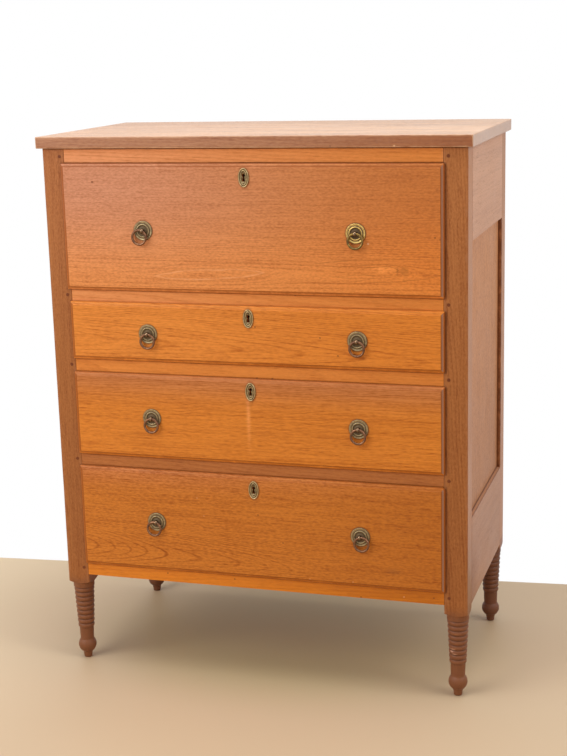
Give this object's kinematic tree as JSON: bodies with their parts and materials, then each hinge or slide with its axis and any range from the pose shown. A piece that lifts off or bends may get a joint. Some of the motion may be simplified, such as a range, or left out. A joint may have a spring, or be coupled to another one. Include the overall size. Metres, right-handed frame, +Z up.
{
  "type": "chest of drawers",
  "caption": "Tall post-and-panel chest of graduated lipped drawers on reeded turned legs, with brass ring pulls, oval keyhole plates and locks.",
  "frame": {"origin": "on the floor under the middle of the object's overall box", "axes": "+X to the chest's right as seen from the front, +Y from the front to the back, +Z up"},
  "size_m": [0.882, 0.4786, 1.122],
  "materials": {
    "top_wood": "aged shellac over cherry, glossy",
    "case_wood": "aged shellac over cherry, satin",
    "drawer_wood": "aged shellac over figured cherry, satin",
    "inner_wood": "bare poplar, matte",
    "peg_wood": "darkened end grain",
    "aged_brass": "tarnished stamped brass",
    "ring_brass": "tarnished brass wire",
    "lock_brass": "dull brass",
    "steel": "dark steel"
  },
  "bodies": {
    "case": {"top_board": "top_wood", "post_front_left": "case_wood", "post_front_right": "case_wood", "post_rear_left": "case_wood", "post_rear_right": "case_wood", "front_rail_top": "case_wood", "front_rail_1_2": "case_wood", "front_rail_2_3": "case_wood", "front_rail_3_4": "case_wood", "front_rail_bottom": "case_wood", "side_rails_left": "case_wood", "side_rails_right": "case_wood", "side_panel_left": "case_wood", "side_panel_right": "case_wood", "rear_rails": "inner_wood", "back_boards": "inner_wood", "drawer_runners": "inner_wood", "drawer_guides": "inner_wood", "joint_pegs": "peg_wood", "top_screws": "steel"},
    "drawer_1": {"drawer_front_1": "drawer_wood", "drawer_sides_1": "inner_wood", "drawer_back_1": "inner_wood", "drawer_bottom_1": "inner_wood", "keyhole_plate_1": "aged_brass", "lock_1": "lock_brass", "pull_plates_1": "aged_brass"},
    "bolt_1": {"lock_bolt_1": "steel"},
    "ring_left_1": {"pull_ring_left_1": "ring_brass"},
    "ring_right_1": {"pull_ring_right_1": "ring_brass"},
    "drawer_2": {"drawer_front_2": "drawer_wood", "drawer_sides_2": "inner_wood", "drawer_back_2": "inner_wood", "drawer_bottom_2": "inner_wood", "keyhole_plate_2": "aged_brass", "lock_2": "lock_brass", "pull_plates_2": "aged_brass"},
    "bolt_2": {"lock_bolt_2": "steel"},
    "ring_left_2": {"pull_ring_left_2": "ring_brass"},
    "ring_right_2": {"pull_ring_right_2": "ring_brass"},
    "drawer_3": {"drawer_front_3": "drawer_wood", "drawer_sides_3": "inner_wood", "drawer_back_3": "inner_wood", "drawer_bottom_3": "inner_wood", "keyhole_plate_3": "aged_brass", "lock_3": "lock_brass", "pull_plates_3": "aged_brass"},
    "bolt_3": {"lock_bolt_3": "steel"},
    "ring_left_3": {"pull_ring_left_3": "ring_brass"},
    "ring_right_3": {"pull_ring_right_3": "ring_brass"},
    "drawer_4": {"drawer_front_4": "drawer_wood", "drawer_sides_4": "inner_wood", "drawer_back_4": "inner_wood", "drawer_bottom_4": "inner_wood", "keyhole_plate_4": "aged_brass", "lock_4": "lock_brass", "pull_plates_4": "aged_brass"},
    "bolt_4": {"lock_bolt_4": "steel"},
    "ring_left_4": {"pull_ring_left_4": "ring_brass"},
    "ring_right_4": {"pull_ring_right_4": "ring_brass"}
  },
  "joints": [
    {"name": "drawer_slide_1", "type": "slide", "parent": "case", "child": "drawer_1", "axis": [0, -1, 0], "range_m": [0, 0.33]},
    {"name": "bolt_slide_1", "type": "slide", "parent": "drawer_1", "child": "bolt_1", "axis": [0, 0, 1], "range_m": [0, 0.008]},
    {"name": "ring_swing_left_1", "type": "hinge", "parent": "drawer_1", "child": "ring_left_1", "pos_m": [-0.217, -0.2346, 0.9375], "axis": [-0.8829, 0, 0.4695], "range_deg": [0, 175]},
    {"name": "ring_swing_right_1", "type": "hinge", "parent": "drawer_1", "child": "ring_right_1", "pos_m": [0.217, -0.2346, 0.9375], "axis": [-1, 0, 0], "range_deg": [0, 175]},
    {"name": "drawer_slide_2", "type": "slide", "parent": "case", "child": "drawer_2", "axis": [0, -1, 0], "range_m": [0, 0.33]},
    {"name": "bolt_slide_2", "type": "slide", "parent": "drawer_2", "child": "bolt_2", "axis": [0, 0, 1], "range_m": [0, 0.008]},
    {"name": "ring_swing_left_2", "type": "hinge", "parent": "drawer_2", "child": "ring_left_2", "pos_m": [-0.217, -0.2346, 0.72875], "axis": [-1, 0, 0], "range_deg": [0, 175]},
    {"name": "ring_swing_right_2", "type": "hinge", "parent": "drawer_2", "child": "ring_right_2", "pos_m": [0.217, -0.2346, 0.72875], "axis": [-1, 0, 0], "range_deg": [0, 175]},
    {"name": "drawer_slide_3", "type": "slide", "parent": "case", "child": "drawer_3", "axis": [0, -1, 0], "range_m": [0, 0.33]},
    {"name": "bolt_slide_3", "type": "slide", "parent": "drawer_3", "child": "bolt_3", "axis": [0, 0, 1], "range_m": [0, 0.008]},
    {"name": "ring_swing_left_3", "type": "hinge", "parent": "drawer_3", "child": "ring_left_3", "pos_m": [-0.217, -0.2346, 0.5535], "axis": [-1, 0, 0], "range_deg": [0, 175]},
    {"name": "ring_swing_right_3", "type": "hinge", "parent": "drawer_3", "child": "ring_right_3", "pos_m": [0.217, -0.2346, 0.5535], "axis": [-1, 0, 0], "range_deg": [0, 175]},
    {"name": "drawer_slide_4", "type": "slide", "parent": "case", "child": "drawer_4", "axis": [0, -1, 0], "range_m": [0, 0.33]},
    {"name": "bolt_slide_4", "type": "slide", "parent": "drawer_4", "child": "bolt_4", "axis": [0, 0, 1], "range_m": [0, 0.008]},
    {"name": "ring_swing_left_4", "type": "hinge", "parent": "drawer_4", "child": "ring_left_4", "pos_m": [-0.217, -0.2346, 0.33175], "axis": [-0.9511, 0, 0.309], "range_deg": [0, 175]},
    {"name": "ring_swing_right_4", "type": "hinge", "parent": "drawer_4", "child": "ring_right_4", "pos_m": [0.217, -0.2346, 0.33175], "axis": [-0.9703, 0, -0.2419], "range_deg": [0, 175]}
  ]
}
